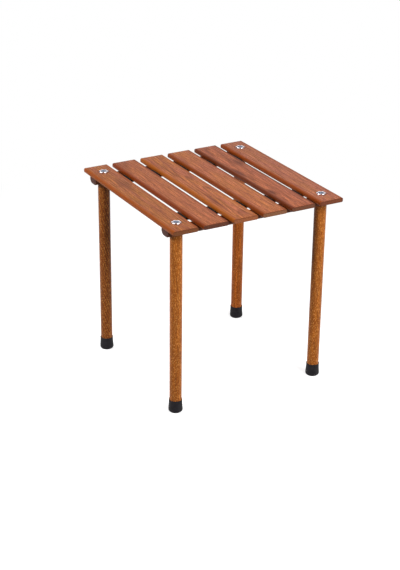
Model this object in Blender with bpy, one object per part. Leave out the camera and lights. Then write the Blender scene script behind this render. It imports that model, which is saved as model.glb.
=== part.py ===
"""Roll-top camping table: six slats on two webbing straps, two rails and four screw-in legs.

Metres, +Z up. X runs along the rails, from slat 1 (left) to slat 6 (right), and Y runs along the slats,
from front to back. The origin is on the floor, under the middle of the top.

Each leg ends in a hanger bolt, which goes up through a hole in a rail and screws into a pronged tee nut
in slat 1 or slat 6, so four turns of the hand clamp rail and top together. Unscrewed, the top rolls up.
"""

import math

import bmesh
import bpy
from mathutils import Matrix, Vector

# Clearance between pieces that touch
GAP = 0.0003

# Top
TABLE_HEIGHT = 0.4155
SLAT_COUNT = 6
SLAT_LENGTH = 0.400
SLAT_WIDTH = 0.055
SLAT_SPACE = 0.012
SLAT_THICKNESS = 0.0095
SLAT_EDGE_RADIUS = 0.0025
SLAT_END_EASE = 0.001

# Webbing straps under the slats, and their staples
STRAP_WIDTH = 0.030
STRAP_THICKNESS = 0.0018
STRAP_FROM_SLAT_END = 0.081
STRAP_END_FROM_EDGE = 0.010
STRAP_HINGE_TRIM = 0.0008
STAPLE_CROWN = 0.012
STAPLE_WIRE_WIDTH = 0.0012
STAPLE_WIRE_THICKNESS = 0.0008
STAPLE_DEPTH_IN_WOOD = 0.005

# Rails
BOLT_FROM_SLAT_END = 0.0395
RAIL_WIDTH = 0.030
RAIL_DEPTH = 0.014
RAIL_LOWER_RADIUS = 0.010
RAIL_UPPER_RADIUS = 0.002
RAIL_END_INSET = 0.0025
RAIL_END_EASE = 0.0015
RAIL_SEAT_DEPTH = 0.003

# Legs
LEG_RADIUS = 0.0127
LEG_EASE = 0.001
LEG_SIDES = 24
LEG_SEAT_CLEARANCE = 0.0005

# Hanger bolts
STUD_RADIUS = 0.003
STUD_CLEARANCE = 0.0004
STUD_TIP_CHAMFER = 0.0008
STUD_BELOW_NUT_TOP = 0.0025
SCREW_LENGTH = 0.034
SCREW_POINT = 0.006
STUD_SIDES = 12

# Tee nuts
NUT_FLANGE_RADIUS = 0.010
NUT_FLANGE_THICKNESS = 0.0020
NUT_PROUD = 0.0020
NUT_MOUTH_RADIUS = 0.0025
NUT_RIM_EASE = 0.0010
NUT_BARREL_WALL = 0.0010
NUT_BARREL_SHORT = 0.0005
NUT_SIDES = 24
PRONG_COUNT = 6
PRONG_WIDTH = 0.0026
PRONG_THICKNESS = 0.0010
PRONG_LENGTH = 0.0050
PRONG_TIP_WIDTH = 0.0010
NOTCH_DEPTH = 0.0018

# Rubber feet
FOOT_HEIGHT = 0.028
FOOT_TOP_RADIUS = 0.0140
FOOT_BASE_RADIUS = 0.0148
FOOT_BASE_THICKNESS = 0.0045
FOOT_EDGE_RADIUS = 0.005
FOOT_LIP_RADIUS = 0.0005
FOOT_SIDES = 24

# Places worked out from the sizes above
SLAT_PITCH = SLAT_WIDTH + SLAT_SPACE
SLAT_UNDERSIDE = TABLE_HEIGHT - SLAT_THICKNESS
BOLT_X = (SLAT_COUNT - 1) * SLAT_PITCH / 2
BOLT_Y = SLAT_LENGTH / 2 - BOLT_FROM_SLAT_END
STRAP_Y = SLAT_LENGTH / 2 - STRAP_FROM_SLAT_END
STRAP_TOP = SLAT_UNDERSIDE - GAP
STRAP_UNDERSIDE = STRAP_TOP - STRAP_THICKNESS
RAIL_TOP = SLAT_UNDERSIDE - GAP
RAIL_UNDERSIDE = RAIL_TOP - RAIL_DEPTH
RAIL_HALF_LENGTH = BOLT_X + SLAT_WIDTH / 2 - RAIL_END_INSET
LEG_TOP = RAIL_UNDERSIDE + RAIL_SEAT_DEPTH - GAP
LEG_BOTTOM = FOOT_BASE_THICKNESS + GAP
STUD_HOLE_RADIUS = STUD_RADIUS + STUD_CLEARANCE
NUT_TOP = TABLE_HEIGHT + NUT_PROUD
NUT_FLANGE_UNDERSIDE = NUT_TOP - NUT_FLANGE_THICKNESS
NUT_BARREL_RADIUS = STUD_HOLE_RADIUS + NUT_BARREL_WALL
NUT_BARREL_BOTTOM = SLAT_UNDERSIDE + NUT_BARREL_SHORT
PRONG_RADIUS = NUT_FLANGE_RADIUS - NOTCH_DEPTH - PRONG_THICKNESS / 2
STAPLE_CROWN_TOP = STRAP_UNDERSIDE - GAP

SIDES_X = {"left": -1, "right": 1}
SIDES_Y = {"front": -1, "back": 1}
CORNERS = [(y_name, x_name) for y_name in SIDES_Y for x_name in SIDES_X]

OVERCUT = 0.002
MERGE = 0.000001
SMOOTH_ANGLE = math.radians(35)


def clear_scene():
    for old in list(bpy.data.objects):
        bpy.data.objects.remove(old, do_unlink=True)


def make_material(name, colour, roughness, metallic=0.0):
    material = bpy.data.materials.new(name)
    material.use_nodes = True
    shader = material.node_tree.nodes["Principled BSDF"]
    shader.inputs["Base Color"].default_value = (*colour, 1.0)
    shader.inputs["Roughness"].default_value = roughness
    shader.inputs["Metallic"].default_value = metallic
    return material


def make_object(name, shape, material=None, place=(0, 0, 0), parent=None):
    """Turns a bmesh, modelled about the object's own origin, into a named object at a place."""
    bmesh.ops.remove_doubles(shape, verts=shape.verts, dist=MERGE)
    bmesh.ops.recalc_face_normals(shape, faces=shape.faces)
    mesh = bpy.data.meshes.new(name)
    shape.to_mesh(mesh)
    shape.free()
    mesh.shade_smooth()
    mesh.set_sharp_from_angle(angle=SMOOTH_ANGLE)
    made = bpy.data.objects.new(name, mesh)
    bpy.context.scene.collection.objects.link(made)
    if material:
        mesh.materials.append(material)
    made.parent = parent
    made.location = Vector(place) - (parent.location if parent else Vector((0, 0, 0)))
    return made


def make_axis(name, place):
    """An empty that marks where a moving group is carried."""
    empty = bpy.data.objects.new(name, None)
    empty.empty_display_size = 0.02
    empty.location = place
    bpy.context.scene.collection.objects.link(empty)
    return empty


def add_boolean(target, cutter, operation="DIFFERENCE"):
    """Cuts or joins a hidden tool object, which stays beside its target."""
    cutter.hide_render = True
    cutter.display_type = "WIRE"
    boolean = target.modifiers.new(cutter.name, "BOOLEAN")
    boolean.operation = operation
    boolean.solver = "EXACT"
    boolean.object = cutter


def add_end_bevel(target, width, segments):
    """Eases the square ends of an extruded bar and leaves its rounded long edges alone."""
    bevel = target.modifiers.new("eased_ends", "BEVEL")
    bevel.width = width
    bevel.segments = segments
    bevel.limit_method = "ANGLE"
    bevel.angle_limit = math.radians(60)


def arc(centre, radius, start, end, steps):
    """Points of an arc in a plane, angles in degrees."""
    points = []
    for step in range(steps + 1):
        angle = math.radians(start + (end - start) * step / steps)
        points.append((centre[0] + radius * math.cos(angle), centre[1] + radius * math.sin(angle)))
    return points


def bar_profile(width, depth, lower_radius, upper_radius, steps):
    """Outline of a bar's section, its width about the middle and its top at zero height."""
    half = width / 2
    return (
        arc((half - lower_radius, lower_radius - depth), lower_radius, -90, 0, steps)
        + arc((half - upper_radius, -upper_radius), upper_radius, 0, 90, steps)
        + arc((upper_radius - half, -upper_radius), upper_radius, 90, 180, steps)
        + arc((lower_radius - half, lower_radius - depth), lower_radius, 180, 270, steps)
    )


def extruded_bar(profile, length, along):
    """A section, given as (across, height), carried a length about the origin along X or Y."""
    shape = bmesh.new()
    across = Vector((0, 1, 0)) if along == "X" else Vector((1, 0, 0))
    run = Vector((length, 0, 0)) if along == "X" else Vector((0, length, 0))
    corners = [shape.verts.new(across * u + Vector((0, 0, v)) - run / 2) for u, v in profile]
    face = shape.faces.new(corners)
    pushed = bmesh.ops.extrude_face_region(shape, geom=[face])
    moved = [item for item in pushed["geom"] if isinstance(item, bmesh.types.BMVert)]
    bmesh.ops.translate(shape, verts=moved, vec=run)
    return shape


def add_box(shape, centre, size, turn=0.0):
    """Adds a box to a shape, turned about the vertical through the origin."""
    matrix = Matrix.Rotation(turn, 4, "Z") @ Matrix.Translation(centre) @ Matrix.Diagonal((*size, 1.0))
    return bmesh.ops.create_cube(shape, size=1.0, matrix=matrix)["verts"]


def add_turned(shape, outline, sides, centre=(0, 0), close=False):
    """Adds a turned solid: an outline of (radius, height) points spun once about the vertical at centre."""
    turned = bmesh.new()
    points = [turned.verts.new((radius, 0, height)) for radius, height in outline]
    edges = [turned.edges.new(pair) for pair in zip(points, points[1:])]
    if close:
        edges.append(turned.edges.new((points[-1], points[0])))
    bmesh.ops.spin(
        turned, geom=points + edges, cent=(0, 0, 0), axis=(0, 0, 1), steps=sides, angle=math.tau,
        use_merge=False, use_duplicate=False,
    )
    bmesh.ops.remove_doubles(turned, verts=turned.verts, dist=MERGE)
    bmesh.ops.recalc_face_normals(turned, faces=turned.faces)
    bmesh.ops.translate(turned, verts=turned.verts, vec=(centre[0], centre[1], 0))
    carrier = bpy.data.meshes.new("turned")
    turned.to_mesh(carrier)
    turned.free()
    shape.from_mesh(carrier)
    bpy.data.meshes.remove(carrier)


def slat_x(number):
    return (number - 1) * SLAT_PITCH - BOLT_X


def prong_turns():
    return [math.tau * prong / PRONG_COUNT for prong in range(PRONG_COUNT)]


def add_staple_legs(shape, strap_y, bottom, top, clearance):
    """The two legs of the staple that holds a strap to a slat, about the slat's own middle."""
    for side in (-1, 1):
        leg_y = strap_y + side * (STAPLE_CROWN - STAPLE_WIRE_WIDTH) / 2
        size = (STAPLE_WIRE_THICKNESS + 2 * clearance, STAPLE_WIRE_WIDTH + 2 * clearance, top - bottom)
        add_box(shape, (0, leg_y, (bottom + top) / 2), size)


def make_slat(number, material, parent):
    """One slat, rounded along both edges, with slots for its staples."""
    profile = bar_profile(SLAT_WIDTH, SLAT_THICKNESS, SLAT_EDGE_RADIUS, SLAT_EDGE_RADIUS, 4)
    place = (slat_x(number), 0, TABLE_HEIGHT)
    slat = make_object(f"slat_{number}", extruded_bar(profile, SLAT_LENGTH, "Y"), material, place, parent)
    add_end_bevel(slat, SLAT_END_EASE, 2)
    slots = bmesh.new()
    slot_top = STAPLE_DEPTH_IN_WOOD - SLAT_THICKNESS + GAP
    for side in SIDES_Y.values():
        add_staple_legs(slots, side * STRAP_Y, -SLAT_THICKNESS - OVERCUT, slot_top, GAP)
    add_boolean(slat, make_object(f"slat_{number}_staple_slots", slots, None, place, parent))
    if number in (1, SLAT_COUNT):
        add_boolean(slat, make_nut_pockets(number, place, parent))
    return slat


def make_nut_pockets(number, place, parent):
    """The two holes, shallow seats and prong slots that take a slat's tee nuts."""
    pockets = bmesh.new()
    seat = NUT_FLANGE_UNDERSIDE - TABLE_HEIGHT - GAP
    for side in SIDES_Y.values():
        hole = [
            (0, -SLAT_THICKNESS - OVERCUT),
            (NUT_BARREL_RADIUS + GAP, -SLAT_THICKNESS - OVERCUT),
            (NUT_BARREL_RADIUS + GAP, seat),
            (NUT_FLANGE_RADIUS + GAP, seat),
            (NUT_FLANGE_RADIUS + GAP, OVERCUT),
            (0, OVERCUT),
        ]
        add_turned(pockets, hole, NUT_SIDES, (0, side * BOLT_Y))
    cutter = make_object(f"slat_{number}_nut_holes", pockets, None, place, parent)
    slots = bmesh.new()
    for side in SIDES_Y.values():
        for turn in prong_turns():
            depth = PRONG_LENGTH + 2 * GAP
            size = (PRONG_THICKNESS + 2 * GAP, PRONG_WIDTH + 2 * GAP, depth)
            made = add_box(slots, (PRONG_RADIUS, 0, seat + GAP - depth / 2), size, turn)
            bmesh.ops.translate(slots, verts=made, vec=(0, side * BOLT_Y, 0))
    prongs = make_object(f"slat_{number}_prong_slots", slots, None, place, parent)
    add_boolean(cutter, prongs, "UNION")
    return cutter


def make_tee_nut(y_name, x_name, material, parent):
    """A tee nut: a round flange with a rolled mouth, a barrel, and prongs folded down from notches in the rim."""
    place = (SIDES_X[x_name] * BOLT_X, SIDES_Y[y_name] * BOLT_Y, NUT_TOP)
    flange_low = -NUT_FLANGE_THICKNESS
    barrel_low = NUT_BARREL_BOTTOM - NUT_TOP
    outline = [
        (NUT_FLANGE_RADIUS - NUT_RIM_EASE, 0),
        (NUT_FLANGE_RADIUS, -NUT_RIM_EASE),
        (NUT_FLANGE_RADIUS, flange_low),
        (NUT_BARREL_RADIUS, flange_low),
        (NUT_BARREL_RADIUS, barrel_low),
        (STUD_HOLE_RADIUS, barrel_low),
    ]
    mouth_centre = (STUD_HOLE_RADIUS + NUT_MOUTH_RADIUS, -NUT_MOUTH_RADIUS)
    outline += arc(mouth_centre, NUT_MOUTH_RADIUS, 180, 90, 3)
    shape = bmesh.new()
    add_turned(shape, outline, NUT_SIDES, close=True)
    name = f"{y_name}_{x_name}"
    nut = make_object(f"tee_nut_{name}", shape, material, place, parent)
    notches = bmesh.new()
    blades = bmesh.new()
    for turn in prong_turns():
        reach = NOTCH_DEPTH + OVERCUT
        notch_x = NUT_FLANGE_RADIUS - NOTCH_DEPTH + reach / 2
        notch_size = (reach, PRONG_WIDTH, NUT_FLANGE_THICKNESS + 2 * OVERCUT)
        add_box(notches, (notch_x, 0, flange_low / 2), notch_size, turn)
        add_prong(blades, turn, flange_low)
    add_boolean(nut, make_object(f"tee_nut_{name}_notches", notches, None, place, parent))
    add_boolean(nut, make_object(f"tee_nut_{name}_prongs", blades, None, place, parent), "UNION")
    return nut


def add_prong(shape, turn, flange_low):
    """One prong, rooted in the flange and narrowing to its tip."""
    root = flange_low / 2
    tip = flange_low - PRONG_LENGTH
    verts = add_box(shape, (PRONG_RADIUS, 0, (root + tip) / 2), (PRONG_THICKNESS, PRONG_WIDTH, root - tip))
    for vert in verts:
        if vert.co.z < (root + tip) / 2:
            vert.co.y *= PRONG_TIP_WIDTH / PRONG_WIDTH
    bmesh.ops.rotate(shape, verts=verts, cent=(0, 0, 0), matrix=Matrix.Rotation(turn, 3, "Z"))


def make_webbing(y_name, number, material, parent):
    """The stretch of a strap under one slat, ending short of the hinge lines between slats."""
    half = SLAT_PITCH / 2 - STRAP_HINGE_TRIM
    end_half = SLAT_WIDTH / 2 - STRAP_END_FROM_EDGE
    left = -(end_half if number == 1 else half)
    right = end_half if number == SLAT_COUNT else half
    place = (slat_x(number), 0, STRAP_TOP)
    shape = bmesh.new()
    centre = ((left + right) / 2, SIDES_Y[y_name] * STRAP_Y, -STRAP_THICKNESS / 2)
    add_box(shape, centre, (right - left, STRAP_WIDTH, STRAP_THICKNESS))
    name = f"webbing_{y_name}_{number}"
    webbing = make_object(name, shape, material, place, parent)
    slots = bmesh.new()
    add_staple_legs(slots, SIDES_Y[y_name] * STRAP_Y, -STRAP_THICKNESS - OVERCUT, OVERCUT, GAP)
    add_boolean(webbing, make_object(f"{name}_staple_slots", slots, None, place, parent))
    return webbing


def make_staple(y_name, number, material, parent):
    """The staple that holds a strap to one slat: a crown under the strap and two legs up into the wood."""
    place = (slat_x(number), 0, STAPLE_CROWN_TOP)
    strap_y = SIDES_Y[y_name] * STRAP_Y
    crown = bmesh.new()
    size = (STAPLE_WIRE_THICKNESS, STAPLE_CROWN, STAPLE_WIRE_THICKNESS)
    add_box(crown, (0, strap_y, -STAPLE_WIRE_THICKNESS / 2), size)
    name = f"staple_{y_name}_{number}"
    staple = make_object(name, crown, material, place, parent)
    legs = bmesh.new()
    tip = SLAT_UNDERSIDE + STAPLE_DEPTH_IN_WOOD - STAPLE_CROWN_TOP
    add_staple_legs(legs, strap_y, -STAPLE_WIRE_THICKNESS / 2, tip, 0)
    add_boolean(staple, make_object(f"{name}_legs", legs, None, place, parent), "UNION")
    return staple


def make_rail(y_name, material, parent):
    """A cross rail, flat on top and round below, with a hole and a flat seat for each leg."""
    profile = bar_profile(RAIL_WIDTH, RAIL_DEPTH, RAIL_LOWER_RADIUS, RAIL_UPPER_RADIUS, 5)
    place = (0, SIDES_Y[y_name] * BOLT_Y, RAIL_TOP)
    rail = make_object(
        f"rail_{y_name}", extruded_bar(profile, 2 * RAIL_HALF_LENGTH, "X"), material, place, parent
    )
    add_end_bevel(rail, RAIL_END_EASE, 2)
    seat_radius = LEG_RADIUS + LEG_SEAT_CLEARANCE
    holes = bmesh.new()
    for side in SIDES_X.values():
        outline = [
            (0, -RAIL_DEPTH - OVERCUT),
            (seat_radius, -RAIL_DEPTH - OVERCUT),
            (seat_radius, RAIL_SEAT_DEPTH - RAIL_DEPTH),
            (STUD_HOLE_RADIUS, RAIL_SEAT_DEPTH - RAIL_DEPTH),
            (STUD_HOLE_RADIUS, OVERCUT),
            (0, OVERCUT),
        ]
        add_turned(holes, outline, LEG_SIDES, (side * BOLT_X, 0))
    add_boolean(rail, make_object(f"rail_{y_name}_holes", holes, None, place, parent))
    return rail


def make_leg(y_name, x_name, material, parent):
    """A round leg with a blind hole in its top for the screw half of the hanger bolt."""
    place = (SIDES_X[x_name] * BOLT_X, SIDES_Y[y_name] * BOLT_Y, LEG_TOP)
    length = LEG_TOP - LEG_BOTTOM
    hole_depth = SCREW_LENGTH + GAP
    outline = [
        (0, -length),
        (LEG_RADIUS - LEG_EASE, -length),
        (LEG_RADIUS, LEG_EASE - length),
        (LEG_RADIUS, -LEG_EASE),
        (LEG_RADIUS - LEG_EASE, 0),
        (STUD_RADIUS + GAP, 0),
        (STUD_RADIUS + GAP, SCREW_POINT - hole_depth),
        (0, -hole_depth),
    ]
    shape = bmesh.new()
    add_turned(shape, outline, LEG_SIDES)
    return make_object(f"leg_{y_name}_{x_name}", shape, material, place, parent)


def make_stud(y_name, x_name, material, parent):
    """A hanger bolt: a pointed wood screw in the leg, and a machine thread that stands up out of it."""
    place = (SIDES_X[x_name] * BOLT_X, SIDES_Y[y_name] * BOLT_Y, LEG_TOP)
    top = NUT_TOP - STUD_BELOW_NUT_TOP - LEG_TOP
    outline = [
        (0, GAP - SCREW_LENGTH),
        (STUD_RADIUS, SCREW_POINT - SCREW_LENGTH + GAP),
        (STUD_RADIUS, top - STUD_TIP_CHAMFER),
        (STUD_RADIUS - STUD_TIP_CHAMFER, top),
        (0, top),
    ]
    shape = bmesh.new()
    add_turned(shape, outline, STUD_SIDES)
    return make_object(f"leg_stud_{y_name}_{x_name}", shape, material, place, parent)


def make_foot(y_name, x_name, material, parent):
    """A rubber cup pushed on the leg's lower end, a little wider at its rounded base."""
    place = (SIDES_X[x_name] * BOLT_X, SIDES_Y[y_name] * BOLT_Y, 0)
    inner = LEG_RADIUS + GAP
    outline = [(0, 0)]
    outline += arc((FOOT_BASE_RADIUS - FOOT_EDGE_RADIUS, FOOT_EDGE_RADIUS), FOOT_EDGE_RADIUS, -90, 0, 4)
    lip = (FOOT_TOP_RADIUS - FOOT_LIP_RADIUS, FOOT_HEIGHT - FOOT_LIP_RADIUS)
    outline += arc(lip, FOOT_LIP_RADIUS, 0, 90, 2)
    outline += [(inner, FOOT_HEIGHT), (inner, FOOT_BASE_THICKNESS), (0, FOOT_BASE_THICKNESS)]
    shape = bmesh.new()
    add_turned(shape, outline, FOOT_SIDES)
    return make_object(f"foot_{y_name}_{x_name}", shape, material, place, parent)


def make_top(wood, black, zinc, steel):
    """The rolling top: every slat with what is fixed to it hangs from an empty on its hinge line."""
    for number in range(1, SLAT_COUNT + 1):
        hinge = (slat_x(number) - SLAT_PITCH / 2, 0, STRAP_TOP - STRAP_THICKNESS / 2)
        axis = make_axis(f"roll_axis_{number}", hinge)
        make_slat(number, wood, axis)
        for y_name in SIDES_Y:
            make_webbing(y_name, number, black, axis)
            make_staple(y_name, number, steel, axis)
        for x_name, nut_slat in (("left", 1), ("right", SLAT_COUNT)):
            if number == nut_slat:
                for y_name in SIDES_Y:
                    make_tee_nut(y_name, x_name, zinc, axis)


def make_base(rail_wood, leg_wood, rubber, steel):
    for y_name in SIDES_Y:
        make_rail(y_name, rail_wood, None)
    for y_name, x_name in CORNERS:
        place = (SIDES_X[x_name] * BOLT_X, SIDES_Y[y_name] * BOLT_Y, LEG_TOP)
        axis = make_axis(f"leg_axis_{y_name}_{x_name}", place)
        make_leg(y_name, x_name, leg_wood, axis)
        make_stud(y_name, x_name, steel, axis)
        make_foot(y_name, x_name, rubber, axis)


def main():
    clear_scene()
    slat_wood = make_material("slat_wood", (0.40, 0.145, 0.072), 0.45)
    rail_wood = make_material("rail_wood", (0.22, 0.075, 0.035), 0.50)
    leg_wood = make_material("leg_wood", (0.42, 0.18, 0.055), 0.35)
    webbing_black = make_material("webbing_black", (0.012, 0.011, 0.011), 0.90)
    foot_rubber = make_material("foot_rubber", (0.035, 0.030, 0.036), 0.75)
    bright_zinc = make_material("bright_zinc", (0.62, 0.66, 0.72), 0.25, 1.0)
    stud_steel = make_material("stud_steel", (0.50, 0.50, 0.50), 0.35, 1.0)
    make_top(slat_wood, webbing_black, bright_zinc, stud_steel)
    make_base(rail_wood, leg_wood, foot_rubber, stud_steel)


main()
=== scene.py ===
"""Looks of the roll-top camping table: oiled hardwood slats on black webbing, zinc plated tee nuts,
varnished screw-in legs and rubber feet.

Metres, +Z up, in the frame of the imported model. X runs along the rails and Y along the slats. Every
place and outer size is read from the model's nodes, and every finished piece has its place in its mesh.
"""

import functools
import math

import bmesh
import bpy
import numpy as np
from mathutils import Matrix, Vector


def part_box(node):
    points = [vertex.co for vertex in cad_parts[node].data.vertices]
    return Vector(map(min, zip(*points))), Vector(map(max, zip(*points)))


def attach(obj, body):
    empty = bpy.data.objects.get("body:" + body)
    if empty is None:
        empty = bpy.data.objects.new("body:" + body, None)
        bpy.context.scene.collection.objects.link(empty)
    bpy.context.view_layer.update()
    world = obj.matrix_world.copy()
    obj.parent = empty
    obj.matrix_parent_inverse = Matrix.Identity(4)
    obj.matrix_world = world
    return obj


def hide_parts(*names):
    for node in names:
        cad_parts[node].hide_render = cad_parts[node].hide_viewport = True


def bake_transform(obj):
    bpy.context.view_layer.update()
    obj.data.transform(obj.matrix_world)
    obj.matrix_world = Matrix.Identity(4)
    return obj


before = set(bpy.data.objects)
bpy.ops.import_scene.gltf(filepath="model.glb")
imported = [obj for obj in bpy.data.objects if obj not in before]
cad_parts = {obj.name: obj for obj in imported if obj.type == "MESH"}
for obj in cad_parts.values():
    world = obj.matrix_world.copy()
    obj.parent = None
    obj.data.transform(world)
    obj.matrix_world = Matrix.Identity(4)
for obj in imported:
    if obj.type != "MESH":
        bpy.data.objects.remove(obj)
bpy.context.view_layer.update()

MM = 0.001
SLAT_COUNT = sum(name.startswith("slat_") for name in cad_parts)
SLATS = range(1, SLAT_COUNT + 1)
ROWS = ("front", "back")
SIDES = ("left", "right")
CORNERS = [(row, side) for row in ROWS for side in SIDES]
END_SLATS = {"left": 1, "right": SLAT_COUNT}

# Boards and dowels
SLAT_EDGE_RADIUS = 3.0 * MM
SLAT_END_EASE = 1.0 * MM
RAIL_LOWER_RADIUS = 10 * MM
RAIL_UPPER_RADIUS = 2 * MM
RAIL_END_EASE = 1.5 * MM
LEG_EASE = 1.2 * MM

# Clearances between pieces that touch, and how far a cutter runs past what it cuts
CLEARANCE = 0.3 * MM
LEG_SEAT_CLEARANCE = 0.5 * MM
NUT_SEAT_CLEARANCE = 0.8 * MM
OVERCUT = 2 * MM

# Tee nuts. The throat is the grey part round the mouth, painted shade of the mouth and bore
FLANGE_THICKNESS = 2.0 * MM
RIM_EASE = 1.0 * MM
BORE_RADIUS = 3.4 * MM
MOUTH_RADIUS = 3.7 * MM
THROAT_RADIUS = 6.5 * MM
BARREL_WALL = 1.0 * MM
BARREL_SHORT = 0.5 * MM
NUT_THREAD_DEPTH = 0.35 * MM
NOTCH_WIDTH = 4.4 * MM
NOTCH_DEPTH = 2.4 * MM
PRONG_COUNT = 6
PRONG_HALF_WIDTH = 0.45 * NOTCH_WIDTH
PRONG_THICKNESS = 1.0 * MM
PRONG_LENGTH = 4.6 * MM
PRONG_INSET = 0.1 * MM

# Hanger bolts
MACHINE_PITCH = 1.0 * MM
MACHINE_THREAD_DEPTH = 0.6 * MM
WOOD_SCREW_PITCH = 2.4 * MM
WOOD_THREAD_DEPTH = 0.9 * MM
THREAD_GAP = 2.5 * MM
SCREW_POINT = 6 * MM
SCREW_POINT_SHARE = 0.05
BOLT_TIP = 0.8 * MM
BOLT_TIP_SHARE = 0.7

# Rubber feet
FOOT_EDGE_RADIUS = 5 * MM
FOOT_LIP_RADIUS = 0.5 * MM
FOOT_MOUTH_WALL = 1.0 * MM
FOOT_BEAD_HEIGHT = 2.4 * MM
FOOT_BEAD_PROUD = 0.35 * MM

# Webbing. A strap starts to bend a little before the gap between two slats
YARN_PITCH = 2.0 * MM
RIB_PITCH = 2.5 * MM
WEAVE_DEPTH = 0.22 * MM
WEAVE_STEP = 0.5 * MM
STRAP_SLACK = 6.0 * MM

# Grids: points round a piece, steps in an arc or in one turn of a thread, stations along a piece
TURNED_POINTS = 80
NUT_POINTS = 72
BOLT_POINTS = 32
BAR_ARC_STEPS = 8
MACHINE_THREAD_STEPS = 8
WOOD_THREAD_STEPS = 12
BAR_STATIONS = 26
LEG_STATIONS = 30

# Mesh cleaning
MERGE_DISTANCE = 2e-6
SLIVER_LENGTH = 1e-7
SMOOTH_ANGLE = math.radians(38)

# Wood. A fade is where a tone starts and where it is full: inside the long edges, where a band of
# burnish and painted shade lies, from the top face, and from the end face
BOARD_RING_SPACING = 4 * MM
BOARD_WOBBLE = 11 * MM
DOWEL_RING_SPACING = 5 * MM
DOWEL_WOBBLE = 6 * MM
EDGE_FADE = (8.5 * MM, 3 * MM)
LOW_SIDE_FADE = (-8 * MM, -4 * MM)
CORNER_FADE = (-2.2 * MM, -1.2 * MM)
END_FADE = (-0.2 * MM, 0.5 * MM)
END_SOAK = 1.6 * MM

# Camera, fitted to the photograph's 400 x 570 frame
IMAGE_HEIGHT = 570
FOCAL_LENGTH_PX = 1399.3
CAMERA_AZIMUTH = math.radians(-29.632)
CAMERA_ELEVATION = math.radians(24.769)
CAMERA_ROLL = math.radians(0.676)
CAMERA_DISTANCE = 2.988
CAMERA_AIM = Vector((0, 0, 0.2))
CAMERA_ASIDE = 0.01922
CAMERA_ABOVE = 0.0166
SENSOR = 36.0

# Studio
FLOOR_HALF_SIZE = 8.0
FLOOR_FADE = (0.5, 1.2)
AMBIENT_LEVEL = 0.07
WHITE = (1, 1, 1, 1)


def linear(hex_colour):
    """An sRGB hex colour as linear RGBA."""
    values = [int(hex_colour[i:i + 2], 16) / 255 for i in (1, 3, 5)]
    rgb = tuple(v / 12.92 if v <= 0.04045 else ((v + 0.055) / 1.055) ** 2.4 for v in values)
    return rgb + (1.0,)


# Meshes


def new_object(name, data):
    """An object in the scene, at the origin, that holds a mesh, a lamp or a camera."""
    made = bpy.data.objects.new(name, data)
    bpy.context.scene.collection.objects.link(made)
    return made


def skin(name, rings):
    """Quads between neighbouring closed rings of an array (ring, point, 3).

    A ring that is drawn in to one point closes the surface as a pole.
    """
    rings = np.asarray(rings, float)
    count, around = rings.shape[:2]
    here = np.arange(count * around).reshape(count, around)
    ahead = np.roll(here, -1, axis=1)
    quads = np.stack([here[:-1], ahead[:-1], ahead[1:], here[1:]], axis=-1).reshape(-1, 4)
    mesh = bpy.data.meshes.new(name)
    mesh.from_pydata(rings.reshape(-1, 3).tolist(), [], quads.tolist())
    return closed_piece(name, mesh)


def capped(rings):
    """The same rings with one more at each end, drawn in to the end ring's middle."""
    ends = [np.broadcast_to(ring.mean(axis=0), ring.shape)[None] for ring in (rings[0], rings[-1])]
    return np.concatenate([ends[0], rings, ends[1]])


def closed_piece(name, mesh):
    """Merges doubled points, turns faces outwards and shades the mesh smooth up to its real edges."""
    work = bmesh.new()
    work.from_mesh(mesh)
    bmesh.ops.remove_doubles(work, verts=work.verts, dist=MERGE_DISTANCE)
    bmesh.ops.dissolve_degenerate(work, edges=work.edges, dist=SLIVER_LENGTH)
    bmesh.ops.recalc_face_normals(work, faces=work.faces)
    work.to_mesh(mesh)
    work.free()
    mesh.shade_smooth()
    mesh.set_sharp_from_angle(angle=SMOOTH_ANGLE)
    return new_object(name, mesh)


def arc(centre, radius, start, end, steps=6):
    """Points of an arc, centre + radius * (cos a, sin a), a in degrees from start to end."""
    angle = np.radians(np.linspace(start, end, steps + 1))
    return np.column_stack([centre[0] + radius * np.cos(angle), centre[1] + radius * np.sin(angle)])


def outline(*parts):
    """One array (point, 2) from points and arcs in turn."""
    return np.concatenate([np.atleast_2d(part) for part in parts])


def round_about(x, y, radius, angle, height):
    """Rings (ring, point, 3) at x + radius * cos a, y + radius * sin a and the height."""
    return np.stack([x + radius * np.cos(angle), y + radius * np.sin(angle), height], axis=-1)


def turned(name, profile, centre):
    """Solid of revolution: each (radius, height) point of the profile is a ring about the centre."""
    angle = np.arange(TURNED_POINTS) * math.tau / TURNED_POINTS
    height = profile[:, 1:] + 0 * angle
    return skin(name, round_about(*centre, profile[:, :1], angle, height))


def bar_section(half_width, low, high, low_radius, high_radius):
    """Section of a bar: four arcs in turn, as an array (point, 2) of (across, height)."""
    low_x, high_x = half_width - low_radius, half_width - high_radius
    low_z, high_z = low + low_radius, high - high_radius
    return outline(
        arc((low_x, low_z), low_radius, -90, 0, BAR_ARC_STEPS),
        arc((high_x, high_z), high_radius, 0, 90, BAR_ARC_STEPS),
        arc((-high_x, high_z), high_radius, 90, 180, BAR_ARC_STEPS),
        arc((-low_x, low_z), low_radius, 180, 270, BAR_ARC_STEPS),
    )


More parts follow.
